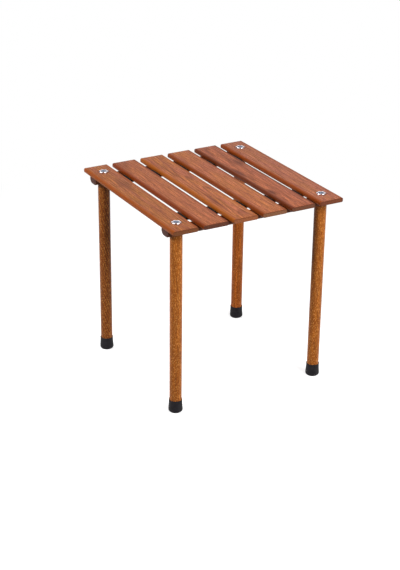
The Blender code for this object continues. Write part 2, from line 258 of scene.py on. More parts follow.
def carried_bar(name, section, start, end, ease, along, centre):
    """A section carried straight along X or Y, with its ends eased.

    At a distance d from an end it is drawn in by ease - sqrt(ease^2 - (ease - d)^2).
    """
    turn = np.radians(np.linspace(0, 90, 5))
    stations = np.concatenate([
        start + ease * (1 - np.cos(turn)),
        np.linspace(start + ease, end - ease, BAR_STATIONS)[1:-1],
        end - ease * (1 - np.cos(turn[::-1])),
    ])
    inside = np.clip(np.minimum(stations - start, end - stations), 0, ease)
    draw_in = ease - np.sqrt(ease ** 2 - (ease - inside) ** 2)
    middle = section.mean(axis=0)
    half = np.abs(section - middle).max(axis=0)
    placed = middle + (section - middle) * (1 - draw_in[:, None, None] / half)
    lengthwise, across = (0, 1) if along == "X" else (1, 0)
    rings = np.empty((len(stations), len(section), 3))
    rings[..., lengthwise] = stations[:, None]
    rings[..., across] = centre + placed[..., 0]
    rings[..., 2] = placed[..., 1]
    return skin(name, capped(rings))


def block(name, low, high, turn, pivot):
    """A plain block between two corners, turned about an upright axis, to cut with or to join on."""
    low, high = np.array(low), np.array(high)
    place = Matrix.Translation((low + high) / 2) @ Matrix.Diagonal((*(high - low), 1.0))
    about = Matrix.Translation((*pivot, 0))
    turning = about @ Matrix.Rotation(turn, 4, "Z") @ about.inverted()
    work = bmesh.new()
    bmesh.ops.create_cube(work, size=1.0, matrix=turning @ place)
    mesh = bpy.data.meshes.new(name)
    work.to_mesh(mesh)
    work.free()
    return closed_piece(name, mesh)


def combine(piece, others, operation):
    """Cuts or joins others with an exact Boolean, keeps the result and removes the others."""
    for other in others:
        step = piece.modifiers.new("combine", "BOOLEAN")
        step.operation = operation
        step.solver = "EXACT"
        step.object = other
    bpy.context.view_layer.update()
    evaluated = piece.evaluated_get(bpy.context.evaluated_depsgraph_get())
    result = bpy.data.meshes.new_from_object(evaluated)
    piece.modifiers.clear()
    piece.data = result
    result.shade_smooth()
    result.set_sharp_from_angle(angle=SMOOTH_ANGLE)
    for other in others:
        bpy.data.objects.remove(other)


def middle_of(node):
    """The upright axis of a node, as (x, y)."""
    low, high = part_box(node)
    return (low.x + high.x) / 2, (low.y + high.y) / 2


def give_material(piece, material):
    """Makes this the piece's only material."""
    piece.data.materials.clear()
    piece.data.materials.append(material)


def finish_piece(piece, material, body, slot, *nodes):
    """Gives a piece its material and its body, and hides the nodes that it stands for. The slot is not
    used.
    """
    give_material(piece, material)
    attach(piece, body)
    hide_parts(*nodes)


# Materials. By number, a Mix takes its share at 0 and its two colours at 6 and 7, and a Map Range
# takes its value at 0, the range it comes from at 1 and 2, and the range it goes to at 3 and 4.
# A noise of scale 100 has spots about 10 mm wide.


def add_node(tree, kind, inputs=(), out=0, stops=(), **settings):
    """Adds a node with its settings and links, and gives one of its outputs.

    Inputs maps socket names or numbers to values or to other nodes' outputs. Stops are a ramp's
    (position, colour) pairs, where a plain number stands for a grey.
    """
    node = tree.nodes.new(kind)
    for name, value in settings.items():
        setattr(node, name, value)
    for name, value in dict(inputs).items():
        if isinstance(value, bpy.types.NodeSocket):
            tree.links.new(value, node.inputs[name])
        else:
            node.inputs[name].default_value = value
    for number, (position, colour) in enumerate(stops):
        elements = node.color_ramp.elements
        element = elements[number] if number < 2 else elements.new(position)
        element.position = position
        element.color = colour if isinstance(colour, tuple) else (colour, colour, colour, 1.0)
    return node.outputs[out] if len(node.outputs) else None


def start_material(name):
    """An empty material, and the function that adds a node to it."""
    material = bpy.data.materials.new(name)
    material.use_nodes = True
    material.node_tree.nodes.clear()
    return material, functools.partial(add_node, material.node_tree)


def wobbled(node, at, noise, reach):
    """The place, moved each way by up to half of reach as a colour noise says."""
    centred = node("ShaderNodeVectorMath", {0: noise, 1: (-0.5, -0.5, -0.5)}, operation="ADD")
    moved = node("ShaderNodeVectorMath", {0: centred, "Scale": reach}, operation="SCALE")
    return node("ShaderNodeVectorMath", {0: at, 1: moved}, operation="ADD")


def wave_scale(spacing):
    """The Wave Texture's scale at which its bands are this far apart."""
    return math.tau / 20 / spacing


def oiled_hardwood(name, board, figure, tones, stains_and_shade=()):
    """Oiled tropical hardwood, planed: warm brown and silky. Its long edges carry a darker band that is
    partly a cutter's burnish and partly painted shade, with less of it low on the sides.

    Growth rings are wobbling shells about the pith, a line that lies at (across, height) from the
    board's middle and leans by two angles, so they cut the faces as long streaks and arches. Rings
    are 4 mm apart. Patches of two tones are 14 by 126 mm, and fibres 3 by 60 mm, which is coarser
    than the real 0.5 mm because finer ones wouldn't show. Pores are drawn 1 by 10 mm. The ends soak
    up oil, go darker and show 2 mm specks of cut fibres. A stain, or a painted shade round a nut, is
    an oval of the dark tone, given by its middle, its half width and half length, and its share.
    """
    material, node = start_material(name)
    pith, lean, shift, late_share = figure
    light, ruddy, dark, burnish_and_edge_shade, end_tone = (linear(tone) for tone in tones)
    half_width, half_length = board["half"]
    place = node("ShaderNodeTexCoord", out="Object")
    at = node("ShaderNodeMapping", {
        "Vector": place, "Location": board["offset"], "Rotation": (0, 0, board["turn"]),
    })

    # Growth rings, patches and stains
    drifting = node("ShaderNodeMapping", {
        "Vector": at, "Location": (shift, shift, 0), "Scale": (1, 0.11, 1),
    })
    wobble = node("ShaderNodeTexNoise", {"Vector": drifting, "Scale": 42, "Detail": 3}, "Color")
    bent = wobbled(node, at, wobble, BOARD_WOBBLE)
    about_pith = node("ShaderNodeMapping", {
        "Vector": bent, "Location": (-pith[0], 0, -pith[1]), "Rotation": (lean[0], 0, lean[1]),
    })
    rings = node(
        "ShaderNodeTexWave", {"Vector": about_pith, "Scale": wave_scale(BOARD_RING_SPACING)}, "Fac",
        wave_type="RINGS", rings_direction="Y", wave_profile="SAW",
    )
    late = node("ShaderNodeValToRGB", {"Fac": rings}, stops=[
        (0, 0.0), (1, 0.1), (0.5, 0.15), (0.88, 1.0),
    ])
    late = node("ShaderNodeMath", {0: late, 1: late_share}, operation="MULTIPLY")
    patches = node("ShaderNodeTexNoise", {"Vector": drifting, "Scale": 72, "Detail": 2})
    patches = node("ShaderNodeValToRGB", {"Fac": patches}, stops=[(0.36, 0.1), (0.66, 0.9)])
    colour = node("ShaderNodeMix", {0: patches, 6: light, 7: ruddy}, 2, data_type="RGBA")
    colour = node("ShaderNodeMix", {0: late, 6: colour, 7: dark}, 2, data_type="RGBA")
    # Stains, and ovals of painted shade round the nuts
    for (x, y), (width, length), share in stains_and_shade:
        about_stain_and_shade = node("ShaderNodeMapping", {
            "Vector": bent, "Location": (-x / width, -y / length, 0),
            "Scale": (1 / width, 1 / length, 0),
        })
        reach = node("ShaderNodeVectorMath", {0: about_stain_and_shade}, "Value", operation="LENGTH")
        stain_and_shade = node("ShaderNodeValToRGB", {"Fac": reach}, stops=[(0.35, share), (1, 0.0)])
        colour = node("ShaderNodeMix", {0: stain_and_shade, 6: colour, 7: dark}, 2, data_type="RGBA")

    # Fibres and pores
    stretched = node("ShaderNodeMapping", {"Vector": at, "Scale": (1, 0.05, 1)})
    fibres = node("ShaderNodeTexNoise", {"Vector": stretched, "Scale": 330, "Detail": 4})
    fibre_tone = node("ShaderNodeMapRange", {0: fibres, 1: 0.32, 2: 0.68, 3: 0.52, 4: 1.48})
    colour = node("ShaderNodeVectorMath", {0: colour, "Scale": fibre_tone}, operation="SCALE")
    dashes = node("ShaderNodeMapping", {"Vector": at, "Scale": (1, 0.1, 1)})
    pores = node("ShaderNodeTexNoise", {"Vector": dashes, "Scale": 950, "Detail": 1})
    pores = node("ShaderNodeValToRGB", {"Fac": pores}, stops=[(0.56, 0.0), (0.68, 0.85)])
    colour = node("ShaderNodeMix", {0: pores, 6: colour, 7: dark}, 2, data_type="RGBA")

    # Long edges: a darker band, partly burnish and partly painted shade, with less of it low down
    across = node("ShaderNodeSeparateXYZ", {0: at}, "X")
    across = node("ShaderNodeMath", {0: across}, operation="ABSOLUTE")
    height = node("ShaderNodeSeparateXYZ", {0: at}, "Z")
    edge = node("ShaderNodeMapRange", {
        0: across, 1: half_width - EDGE_FADE[0], 2: half_width - EDGE_FADE[1], 4: 0.97,
    }, interpolation_type="SMOOTHSTEP")
    low_side = node("ShaderNodeMapRange", {
        0: height, 1: LOW_SIDE_FADE[0], 2: LOW_SIDE_FADE[1], 3: 0.7, 4: 1,
    })
    edge = node("ShaderNodeMath", {0: edge, 1: low_side}, operation="MULTIPLY")
    colour = node("ShaderNodeMix", {0: edge, 6: colour, 7: burnish_and_edge_shade}, 2, data_type="RGBA")

    # End grain, with a dark line where it meets the top face
    lengthwise = node("ShaderNodeSeparateXYZ", {0: at}, "Y")
    lengthwise = node("ShaderNodeMath", {0: lengthwise}, operation="ABSOLUTE")
    soak = node("ShaderNodeMath", {0: fibres, 1: END_SOAK, 2: lengthwise}, operation="MULTIPLY_ADD")
    soaked = node("ShaderNodeMapRange", {
        0: soak, 1: half_length + END_FADE[0], 2: half_length + END_FADE[1], 4: 0.9,
    })
    cut_fibres = node("ShaderNodeTexNoise", {"Vector": at, "Scale": 520, "Detail": 3})
    cut_tone = node("ShaderNodeMapRange", {0: cut_fibres, 1: 0.35, 2: 0.65, 3: 0.7, 4: 1.3})
    end_grain = node("ShaderNodeVectorMath", {0: end_tone[:3], "Scale": cut_tone}, operation="SCALE")
    colour = node("ShaderNodeMix", {0: soaked, 6: colour, 7: end_grain}, 2, data_type="RGBA")
    corner = node("ShaderNodeMapRange", {0: height, 1: CORNER_FADE[0], 2: CORNER_FADE[1], 4: 0.85})
    corner = node("ShaderNodeMath", {0: corner, 1: soaked}, operation="MULTIPLY")
    colour = node("ShaderNodeMix", {0: corner, 6: colour, 7: dark}, 2, data_type="RGBA")

    rough = node("ShaderNodeMapRange", {0: fibres, 1: 0.3, 2: 0.7, 3: 0.52, 4: 0.40})
    relief = node("ShaderNodeMath", {0: fibres, 1: pores}, operation="SUBTRACT")
    bump = node("ShaderNodeBump", {"Height": relief, "Strength": 0.4, "Distance": 0.25 * MM})
    shader = node("ShaderNodeBsdfPrincipled", {
        "Base Color": colour, "Roughness": rough, "Normal": bump, "IOR": 1.5,
        "Specular IOR Level": 0.1,
    })
    node("ShaderNodeOutputMaterial", {"Surface": shader})
    return material


def varnished_dowel(name, centre, figure, tones):
    """Turned hardwood dowel, varnished: a satin golden round, covered in light and dark ray flecks.

    Growth rings are planes 5 mm apart that cut the round at a slope, and so draw chevrons on it.
    Flecks are 1.6 by 3.6 mm, a little coarser than the real ones, so that they show. Streaks are
    3 by 50 mm.
    """
    material, node = start_material(name)
    facing, tilt, chevron_share, streak_share = figure
    light, middle, dark = (linear(tone) for tone in tones)
    place = node("ShaderNodeTexCoord", out="Object")
    at = node("ShaderNodeMapping", {"Vector": place, "Location": (-centre[0], -centre[1], 0)})
    wobble = node("ShaderNodeTexNoise", {"Vector": at, "Scale": 70, "Detail": 2}, "Color")
    bent = wobbled(node, at, wobble, DOWEL_WOBBLE)
    sloping = node("ShaderNodeMapping", {"Vector": bent, "Rotation": (0, tilt, facing)})
    rings = node(
        "ShaderNodeTexWave", {"Vector": sloping, "Scale": wave_scale(DOWEL_RING_SPACING)}, "Fac",
        wave_type="BANDS", bands_direction="X", wave_profile="SIN",
    )
    rings = node("ShaderNodeMath", {0: rings, 1: chevron_share}, operation="MULTIPLY")
    squat = node("ShaderNodeMapping", {"Vector": at, "Scale": (1, 1, 0.45)})
    flecks = node("ShaderNodeTexNoise", {"Vector": squat, "Scale": 620, "Detail": 2})
    light_flecks = node("ShaderNodeValToRGB", {"Fac": flecks}, stops=[(0.56, 0.0), (0.66, 0.85)])
    dark_flecks = node("ShaderNodeValToRGB", {"Fac": flecks}, stops=[(0.34, 0.7), (0.46, 0.0)])
    long = node("ShaderNodeMapping", {"Vector": at, "Scale": (1, 1, 0.06)})
    streaks = node("ShaderNodeTexNoise", {"Vector": long, "Scale": 330, "Detail": 3})
    tone = node("ShaderNodeMapRange", {
        0: streaks, 1: 0.3, 2: 0.7, 3: 1 - streak_share, 4: 1 + streak_share,
    })
    colour = node("ShaderNodeMix", {0: rings, 6: middle, 7: dark}, 2, data_type="RGBA")
    colour = node("ShaderNodeMix", {0: dark_flecks, 6: colour, 7: dark}, 2, data_type="RGBA")
    colour = node("ShaderNodeMix", {0: light_flecks, 6: colour, 7: light}, 2, data_type="RGBA")
    colour = node("ShaderNodeVectorMath", {0: colour, "Scale": tone}, operation="SCALE")
    bump = node("ShaderNodeBump", {"Height": flecks, "Strength": 0.2, "Distance": 0.2 * MM})
    shader = node("ShaderNodeBsdfPrincipled", {
        "Base Color": colour, "Roughness": 0.36, "Normal": bump, "IOR": 1.5,
        "Specular IOR Level": 0.15,
    })
    node("ShaderNodeOutputMaterial", {"Surface": shader})
    return material


def zinc_plated_steel(name, plating, roughness, throat_shade_tone=None):
    """Pressed or drawn steel, zinc plated: a blue-white metal with 1.5 mm clouds from the bath.

    With a throat shade tone, the plating goes grey and matte near a tee nut's axis: the grey is
    painted shade of the flared mouth and the bore. The nuts stand at the same distances from the
    middle, so folding the place by its signs puts all four at one.
    """
    material, node = start_material(name)
    place = node("ShaderNodeTexCoord", out="Object")
    clouds = node("ShaderNodeTexNoise", {"Vector": place, "Scale": 650, "Detail": 3})
    rough = node("ShaderNodeMapRange", {
        0: clouds, 1: 0.3, 2: 0.7, 3: roughness - 0.06, 4: roughness + 0.08,
    })
    colour = linear(plating)
    if throat_shade_tone:
        x, y = middle_of("tee_nut_back_right")
        folded = node("ShaderNodeVectorMath", {0: place}, operation="ABSOLUTE")
        about_axis = node("ShaderNodeMapping", {
            "Vector": folded, "Location": (-x, -y, 0), "Scale": (1, 1, 0),
        })
        reach = node("ShaderNodeVectorMath", {0: about_axis}, "Value", operation="LENGTH")
        # Painted shade: grey near the axis, in the mouth and the bore
        inside = node("ShaderNodeMapRange", {
            0: reach, 1: THROAT_RADIUS - 0.6 * MM, 2: THROAT_RADIUS, 3: 1, 4: 0,
        })
        throat_shade = linear(throat_shade_tone)
        colour = node("ShaderNodeMix", {0: inside, 6: colour, 7: throat_shade}, 2, data_type="RGBA")
        rough = node("ShaderNodeMath", {0: inside, 1: 0.3, 2: rough}, operation="MULTIPLY_ADD")
    bump = node("ShaderNodeBump", {"Height": clouds, "Strength": 0.12, "Distance": 0.1 * MM})
    shader = node("ShaderNodeBsdfPrincipled", {
        "Base Color": colour, "Metallic": 1.0, "Roughness": rough, "Normal": bump,
    })
    node("ShaderNodeOutputMaterial", {"Surface": shader})
    return material


def moulded_rubber(name):
    """Moulded rubber: near black and matte, with a 0.6 mm moulded grain.

    It is dusty in 6 mm spots, where hands and the ground touch it.
    """
    material, node = start_material(name)
    place = node("ShaderNodeTexCoord", out="Object")
    dust = node("ShaderNodeTexNoise", {"Vector": place, "Scale": 170, "Detail": 4})
    grain = node("ShaderNodeTexNoise", {"Vector": place, "Scale": 1700, "Detail": 2})
    colour = node("ShaderNodeValToRGB", {"Fac": dust}, stops=[
        (0.35, linear("#1A181B")), (0.72, linear("#2A272B")),
    ])
    bump = node("ShaderNodeBump", {"Height": grain, "Strength": 0.25, "Distance": 0.15 * MM})
    shader = node("ShaderNodeBsdfPrincipled", {
        "Base Color": colour, "Roughness": 0.6, "Normal": bump, "IOR": 1.52,
        "Specular IOR Level": 0.12,
    })
    node("ShaderNodeOutputMaterial", {"Surface": shader})
    return material


def woven_webbing(name):
    """Woven polypropylene webbing: black, with a dull sheen on its raised yarns.

    A yarn is a bundle of fibres, drawn 0.5 by 2 mm. The weave itself is in the mesh.
    """
    material, node = start_material(name)
    place = node("ShaderNodeTexCoord", out="Object")
    lengthwise = node("ShaderNodeMapping", {"Vector": place, "Scale": (0.25, 1, 1)})
    fibres = node("ShaderNodeTexNoise", {"Vector": lengthwise, "Scale": 2000, "Detail": 2})
    colour = node("ShaderNodeValToRGB", {"Fac": fibres}, stops=[
        (0.35, linear("#040303")), (0.7, linear("#100D0D")),
    ])
    bump = node("ShaderNodeBump", {"Height": fibres, "Strength": 0.5, "Distance": 0.2 * MM})
    shader = node("ShaderNodeBsdfPrincipled", {
        "Base Color": colour, "Roughness": 0.75, "Normal": bump, "Specular IOR Level": 0.1,
    })
    node("ShaderNodeOutputMaterial", {"Surface": shader})
    return material


# Pieces


def make_slats():
    """Six boards. Each has its own wood, so that no two share a figure.

    A figure is the pith's place and lean, a shift of the noises, and the share of dark late wood.
    Tones are light, ruddy, dark, burnish with painted edge shade, and end grain. Painted shade
    darkens the wood round a nut.
    """
    bolt_y = middle_of("tee_nut_back_left")[1]
    # Painted shade: the wood goes dark in an oval round each nut, on both faces of the board.
    painted_nut_shade = [((0, y), (0.0145, 0.0145), 0.9) for y in (-bolt_y, bolt_y)]
    # The fourth tone is darker on some slats: painted shade for sides that a neighbouring slat shades.
    woods = [
        {
            "figure": ((0.060, -0.050), (0.02, 0.03), 0.31, 0.45),
            "tones": ("#A7652A", "#9D5739", "#653019", "#924508", "#774A2F"),
            "stains_and_shade": [((0.004, 0.070), (0.014, 0.050), 0.5), *painted_nut_shade],
        }, {
            "figure": ((-0.085, -0.045), (-0.02, 0.04), 0.13, 0.40),
            "tones": ("#AE6537", "#A45B3D", "#66311B", "#793102", "#57352A"),
            "stains_and_shade": [((-0.014, 0.185), (0.026, 0.045), 0.4)],
        }, {
            "figure": ((0.016, -0.040), (0.03, 0.035), 0.57, 0.70),
            "tones": ("#B56C32", "#AA5E43", "#6D341C", "#9D5212", "#985C3C"),
            "stains_and_shade": [
                ((-0.010, -0.090), (0.0045, 0.080), 0.9), ((-0.009, 0.105), (0.0035, 0.070), 0.8),
            ],
        }, {
            "figure": ((-0.110, -0.030), (0.01, 0.02), 0.79, 0.35),
            "tones": ("#B46C34", "#AA5E43", "#6C331C", "#7E3704", "#835A40"),
            "stains_and_shade": [],
        }, {
            "figure": ((-0.012, -0.036), (-0.03, 0.03), 0.37, 0.60),
            "tones": ("#B0643B", "#A65B41", "#67301C", "#652906", "#6B4533"),
            "stains_and_shade": [
                ((0.012, 0.080), (0.014, 0.036), 0.7), ((-0.017, 0.022), (0.0085, 0.034), 1.0),
                ((-0.017, -0.108), (0.0085, 0.024), 0.95),
            ],
        }, {
            "figure": ((0.075, -0.055), (0.03, 0.02), 0.91, 0.50),
            "tones": ("#B16B42", "#A7604A", "#673320", "#893C07", "#703F2B"),
            "stains_and_shade": painted_nut_shade,
        },
    ]
    for number, look in zip(SLATS, woods):
        node = f"slat_{number}"
        low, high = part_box(node)
        x, y = middle_of(node)
        board = {"turn": 0, "offset": (-x, -y, -high.z), "half": ((high.x - low.x) / 2, high.y - y)}
        wood = oiled_hardwood(f"oiled_hardwood_{number}", board, **look)
        section = bar_section(high.x - x, low.z, high.z, SLAT_EDGE_RADIUS, SLAT_EDGE_RADIUS)
        slat = carried_bar(f"{node}_board", section, low.y, high.y, SLAT_END_EASE, "Y", x)
        pockets = [
            nut_pocket(f"tee_nut_{row}_{side}", low.z, high.z)
            for side in SIDES if END_SLATS[side] == number for row in ROWS
        ]
        if pockets:
            combine(slat, pockets, "DIFFERENCE")
        finish_piece(slat, wood, f"top_{number}", "slat_wood", node)


def nut_pocket(nut, slat_low, slat_high):
    """Cutter for the hole and the shallow seat that a tee nut has in its slat."""
    low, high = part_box(nut)
    flange = (high.x - low.x) / 2 + NUT_SEAT_CLEARANCE
    barrel = BORE_RADIUS + BARREL_WALL + CLEARANCE
    seat = high.z - FLANGE_THICKNESS - CLEARANCE
    return turned("nut_pocket", outline(
        (0, slat_low - OVERCUT), (barrel, slat_low - OVERCUT), (barrel, seat), (flange, seat),
        (flange, slat_high + OVERCUT), (0, slat_high + OVERCUT),
    ), middle_of(nut))


def make_tee_nut(row, side, zinc):
    """A pressed nut: flange, flared mouth and threaded barrel as one skin, prongs folded from notches.

    The bore's radius is its crest plus depth times a triangle wave of height / pitch - angle / turn.
    """
    node = f"tee_nut_{row}_{side}"
    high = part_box(node)[1]
    x, y = middle_of(node)
    flange = high.x - x
    under = high.z - FLANGE_THICKNESS
    barrel = BORE_RADIUS + BARREL_WALL
    barrel_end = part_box(f"slat_{END_SLATS[side]}")[0].z + BARREL_SHORT
    mouth = high.z - MOUTH_RADIUS
    heights = np.arange(barrel_end, mouth, MACHINE_PITCH / MACHINE_THREAD_STEPS)
    profile = outline(
        arc((flange - RIM_EASE, high.z - RIM_EASE), RIM_EASE, 90, 0),
        (flange, under), (barrel, under), (barrel, barrel_end),
        np.column_stack([np.full_like(heights, BORE_RADIUS), heights]),
        arc((BORE_RADIUS + MOUTH_RADIUS, mouth), MOUTH_RADIUS, 180, 90, 8),
        (flange - RIM_EASE, high.z),
    )
    angle = np.arange(NUT_POINTS) * math.tau / NUT_POINTS
    radius, height = (np.repeat(values[:, None], NUT_POINTS, axis=1) for values in profile.T)
    in_bore = np.abs(radius - BORE_RADIUS) < 0.01 * MM
    threaded = in_bore & (height < mouth - MACHINE_PITCH / 2)
    wave = np.abs(2 * ((height / MACHINE_PITCH - angle / math.tau) % 1.0) - 1)
    radius = np.where(threaded, radius + NUT_THREAD_DEPTH * wave, radius)
    nut = skin(f"{node}_pressing", round_about(x, y, radius, angle, height))

    root = x + flange - NOTCH_DEPTH
    turns = np.arange(PRONG_COUNT) * math.tau / PRONG_COUNT
    notches = [block(
        "notch", (root, y - NOTCH_WIDTH / 2, under - OVERCUT),
        (root + NOTCH_DEPTH + OVERCUT, y + NOTCH_WIDTH / 2, high.z + OVERCUT), turn, (x, y),
    ) for turn in turns]
    prongs = [block(
        "prong", (root - PRONG_THICKNESS, y - PRONG_HALF_WIDTH, under - PRONG_LENGTH),
        (root - PRONG_INSET, y + PRONG_HALF_WIDTH, high.z - FLANGE_THICKNESS / 2), turn, (x, y),
    ) for turn in turns]
    combine(nut, notches, "DIFFERENCE")
    combine(nut, prongs, "UNION")
    finish_piece(nut, zinc, f"top_{END_SLATS[side]}", "bright_zinc", node)


def make_rails():
    """Two cross rails, flat above and round below, with a counterbored seat for each leg."""
    tones = ("#8A4A2A", "#7E4430", "#4A2514", "#72380F", "#43231A")
    figures = {
        "front": ((0.030, -0.060), (0.02, 0.02), 0.2, 0.6),
        "back": ((-0.045, -0.050), (0.03, 0.01), 0.7, 0.6),
    }
    for row, figure in figures.items():
        node = f"rail_{row}"
        low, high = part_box(node)
        x, y = middle_of(node)
        board = {
            "turn": math.pi / 2, "offset": (y, -x, -high.z),
            "half": ((high.y - low.y) / 2, high.x - x),
        }
        wood = oiled_hardwood(f"oiled_hardwood_rail_{row}", board, figure, tones)
        section = bar_section(high.y - y, low.z, high.z, RAIL_LOWER_RADIUS, RAIL_UPPER_RADIUS)
        rail = carried_bar(f"{node}_bar", section, low.x, high.x, RAIL_END_EASE, "X", y)
        seats = [leg_seat(f"leg_{row}_{side}", low.z, high.z) for side in SIDES]
        combine(rail, seats, "DIFFERENCE")
        finish_piece(rail, wood, node, "rail_wood", node)


def leg_seat(leg, rail_low, rail_high):
    """Cutter for a leg's counterbored seat under a rail, and for its bolt's hole through the rail."""
    low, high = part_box(leg)
    recess = (high.x - low.x) / 2 + LEG_SEAT_CLEARANCE
    seat = high.z + CLEARANCE
    return turned("leg_seat", outline(
        (0, rail_low - OVERCUT), (recess, rail_low - OVERCUT), (recess, seat), (BORE_RADIUS, seat),
        (BORE_RADIUS, rail_high + OVERCUT), (0, rail_high + OVERCUT),
    ), middle_of(leg))


def make_leg(row, side, wood):
    """A dowel with eased ends and the pilot hole for its hanger bolt."""
    node = f"leg_{row}_{side}"
    low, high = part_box(node)
    bolt_low, bolt_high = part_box(f"leg_stud_{row}_{side}")
    radius = (high.x - low.x) / 2
    hole = (bolt_high.x - bolt_low.x) / 2 + CLEARANCE
    heights = np.linspace(low.z + LEG_EASE, high.z - LEG_EASE, LEG_STATIONS)[1:-1]
    leg = turned(f"{node}_dowel", outline(
        (0, low.z), arc((radius - LEG_EASE, low.z + LEG_EASE), LEG_EASE, -90, 0),
        np.column_stack([np.full_like(heights, radius), heights]),
        arc((radius - LEG_EASE, high.z - LEG_EASE), LEG_EASE, 0, 90),
        (hole, high.z), (hole, bolt_low.z + SCREW_POINT), (0, bolt_low.z - CLEARANCE),
    ), middle_of(node))
    finish_piece(leg, wood, node, "leg_wood", node)


def make_bolt(row, side, steel):
    """Hanger bolt: from crest to root, its radius is a triangle wave of height / pitch - angle / turn.

    A coarse wood thread fills the leg, a fine machine thread stands out of it, and both ends taper.
    """
    node = f"leg_stud_{row}_{side}"
    low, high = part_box(node)
    x, y = middle_of(node)
    leg_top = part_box(f"leg_{row}_{side}")[1].z
    angle = np.arange(BOLT_POINTS) * math.tau / BOLT_POINTS
    rings = []
    for start, end, pitch, depth, steps in (
        (low.z, leg_top - THREAD_GAP, WOOD_SCREW_PITCH, WOOD_THREAD_DEPTH, WOOD_THREAD_STEPS),
        (leg_top + CLEARANCE, high.z, MACHINE_PITCH, MACHINE_THREAD_DEPTH, MACHINE_THREAD_STEPS),
    ):
        height = np.arange(start, end, pitch / steps)[:, None] + 0 * angle
        wave = np.abs(2 * ((height / pitch - angle / math.tau) % 1.0) - 1)
        point = np.clip((height - low.z) / SCREW_POINT, SCREW_POINT_SHARE, 1.0)
        tip = BOLT_TIP_SHARE + (1 - BOLT_TIP_SHARE) * (high.z - height) / BOLT_TIP
        radius = (high.x - x - depth * wave) * point * np.clip(tip, BOLT_TIP_SHARE, 1.0)
        rings.append(round_about(x, y, radius, angle, height))
    bolt = skin(f"{node}_thread", capped(np.concatenate(rings)))
    finish_piece(bolt, steel, f"leg_{row}_{side}", "stud_steel", node)


def make_foot(row, side, rubber):
    """A rubber cup: rounded sole, slightly tapered wall, bead at the mouth, and bore for the leg."""
    node = f"foot_{row}_{side}"
    low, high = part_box(node)
    leg_low, leg_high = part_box(f"leg_{row}_{side}")
    sole = (high.x - low.x) / 2 - FOOT_EDGE_RADIUS
    inner = (leg_high.x - leg_low.x) / 2 + CLEARANCE
    mouth = inner + FOOT_MOUTH_WALL
    neck = mouth - FOOT_BEAD_PROUD
    bead = high.z - FOOT_BEAD_HEIGHT
    foot = turned(f"{node}_cap", outline(
        (0, low.z), arc((sole, low.z + FOOT_EDGE_RADIUS), FOOT_EDGE_RADIUS, -90, 0, 10),
        (neck, bead - FOOT_BEAD_PROUD), (neck, bead), (mouth, bead + FOOT_BEAD_PROUD),
        arc((mouth - FOOT_LIP_RADIUS, high.z - FOOT_LIP_RADIUS), FOOT_LIP_RADIUS, 0, 90),
        (inner, high.z), (inner, leg_low.z - CLEARANCE), (0, leg_low.z - CLEARANCE),
    ), middle_of(node))
    finish_piece(foot, rubber, f"leg_{row}_{side}", "foot_rubber", node)


def strap_length(name, start, end, gap, low, high):
    """A length of strap: a flat oval section carried along X, with a plain weave pressed into it.

    Low and high are corners of the box that it lies in when flat. Both faces sink by depth *
    (1 - max(r * y, (1 - r) * (1 - y))), where r and y are sin^2 waves that run along and across
    the strap, so the raised places make a checker, one over and one under. In the gap between two
    slats the slack stands up by slack * (1 - cos^4 a), where a runs from 0 to 180 degrees.
    """
    radius = (high.z - low.z) / 2
    middle = (low.y + high.y) / 2
    half_width = high.y - middle - radius
    flat = np.linspace(-half_width, half_width, round(2 * half_width / WEAVE_STEP))[1:-1]
    section = outline(
        np.column_stack([flat, np.full_like(flat, -radius)]),
        arc((half_width, 0), radius, -90, 90),
        np.column_stack([flat[::-1], np.full_like(flat, radius)]),
        arc((-half_width, 0), radius, 90, 270),
    )
    stations = np.linspace(start, end, round((end - start) / WEAVE_STEP))[:, None]
    turn = math.pi * np.clip((stations - gap[0]) / (gap[1] - gap[0]), 0, 1)
    rise = STRAP_SLACK * (1 - np.cos(turn) ** 4)
    tilt = np.arctan(np.gradient(rise, stations[:, 0], axis=0))
    ribs = np.sin(math.pi * stations / RIB_PITCH) ** 2
    yarns = np.sin(math.pi * section[:, 0] / YARN_PITCH) ** 2
    sink = WEAVE_DEPTH * (1 - np.maximum(ribs * yarns, (1 - ribs) * (1 - yarns)))
    face = section[:, 1] * (1 - sink / radius)
    rings = np.empty((len(stations), len(section), 3))
    rings[..., 0] = stations - face * np.sin(tilt)
    rings[..., 1] = middle + section[:, 0]
    rings[..., 2] = (low.z + high.z) / 2 + rise + face * np.cos(tilt)
    return skin(name, capped(rings))


def make_straps():
    """Each strap in lengths that meet under the slats' middles and bend across the gap between two.

    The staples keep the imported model's shape and only get their wire.
    """
    webbing = woven_webbing("woven_webbing")
    wire = zinc_plated_steel("galvanised_wire", "#A9ABB0", 0.35)
    for row in ROWS:
        for number in SLATS[:-1]:
            nodes = [f"webbing_{row}_{number}"]
            low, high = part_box(nodes[0])
            start = low.x if number == 1 else middle_of(f"slat_{number}")[0]
            end = middle_of(f"slat_{number + 1}")[0]
            if number + 1 == SLAT_COUNT:
                nodes.append(f"webbing_{row}_{SLAT_COUNT}")
                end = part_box(nodes[1])[1].x
            gap = (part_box(f"slat_{number}")[1].x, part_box(f"slat_{number + 1}")[0].x)
            strap = strap_length(f"strap_{row}_{number}", start, end, gap, low, high)
            give_material(strap, webbing)
            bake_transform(strap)
            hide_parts(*nodes)
        for number in SLATS:
            give_material(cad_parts[f"staple_{row}_{number}"], wire)


